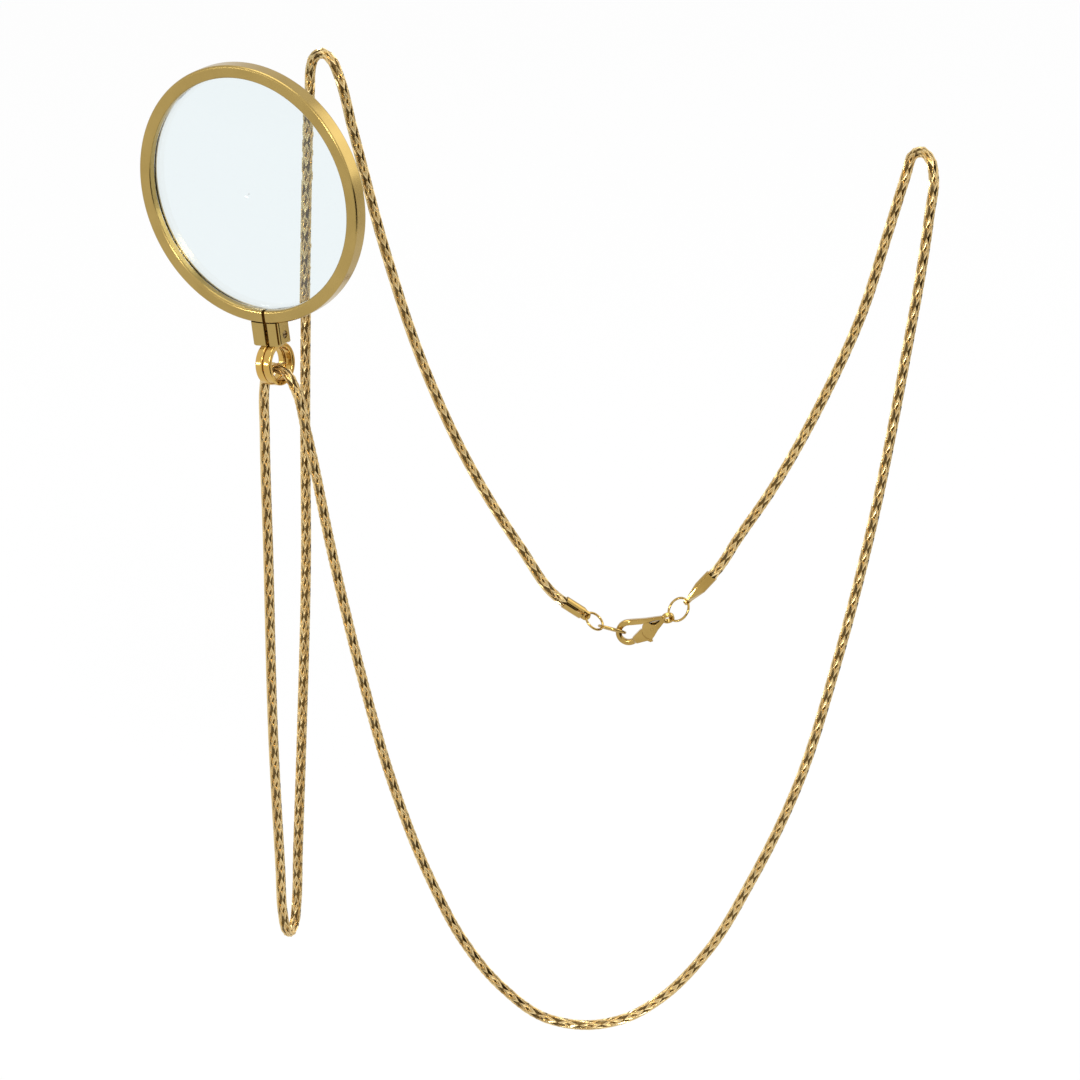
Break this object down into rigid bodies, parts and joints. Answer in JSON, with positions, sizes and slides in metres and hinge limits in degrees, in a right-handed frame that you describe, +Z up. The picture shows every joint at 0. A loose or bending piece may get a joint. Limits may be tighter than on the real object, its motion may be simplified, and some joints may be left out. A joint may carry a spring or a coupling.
{
  "type": "monocle with chain",
  "caption": "Single round lens in a split metal rim with a screwed hinge-like lug pair, a loop, and a long fine neck chain closed by a small spring clasp.",
  "frame": {"origin": "centre of the lens and rim, half way through the rim's depth; the part hangs from its chain and grip, so nothing stands at the origin's height", "axes": "+Z is up, against the chain's hang; the lens's axis is Y and its front looks along -Y; +X is to the right seen from the front. The lugs are turned 8 degrees about Y from straight down"},
  "size_m": [0.1124, 0.0679, 0.1745],
  "materials": {
    "gold": "polished gold plate",
    "chain": "bright woven gold-plated chain",
    "screw": "polished gold plate",
    "lens": "clear, polished, uncoated",
    "spring": "bright spring steel"
  },
  "bodies": {
    "monocle": {"rim": "gold", "lens": "lens", "left_lug": "gold", "right_lug": "gold", "closing_screw": "screw", "left_loop": "gold", "right_loop": "gold", "chain_left": "chain", "chain_right": "chain", "left_cap": "gold", "right_cap": "gold"},
    "left_ring": {"left_cap_ring": "gold"},
    "link_ring": {"clasp_link_ring": "gold"},
    "right_ring": {"right_cap_ring": "gold"},
    "clasp": {"clasp_body": "gold", "lever_pin": "gold", "lever_spring": "spring"},
    "lever": {"clasp_lever": "gold"}
  },
  "joints": [
    {"name": "left_ring_swing", "type": "hinge", "parent": "monocle", "child": "left_ring", "pos_m": [0.04196, 0.03478, -0.077], "axis": [-0.3483, 0.8923, 0.2873], "range_deg": [-8, 8]},
    {"name": "link_ring_swing", "type": "hinge", "parent": "left_ring", "child": "link_ring", "pos_m": [0.0442, 0.0363, -0.07902], "axis": [-0.3483, 0.8923, 0.2873], "range_deg": [-19, 19]},
    {"name": "right_ring_swing", "type": "hinge", "parent": "monocle", "child": "right_ring", "pos_m": [0.05592, 0.04428, -0.07453], "axis": [-0.7897, 0.4883, 0.3714], "range_deg": [-3, 3]},
    {"name": "clasp_swing", "type": "hinge", "parent": "right_ring", "child": "clasp", "pos_m": [0.05356, 0.04267, -0.07744], "axis": [-0.7897, 0.4883, 0.3714], "range_deg": [-7, 7]},
    {"name": "lever_turn", "type": "hinge", "parent": "clasp", "child": "lever", "pos_m": [0.05115, 0.04087, -0.07941], "axis": [-0.4994, 0.8433, -0.1985], "range_deg": [0, 24], "stiffness_Nm_per_rad": 0.00002, "springref_deg": -20.05, "deforming": ["lever_spring"]}
  ],
  "couplings": [
    {"joint": "link_ring_swing", "follows": "left_ring_swing", "ratio": -2.3},
    {"joint": "clasp_swing", "follows": "right_ring_swing", "ratio": -2.07}
  ]
}
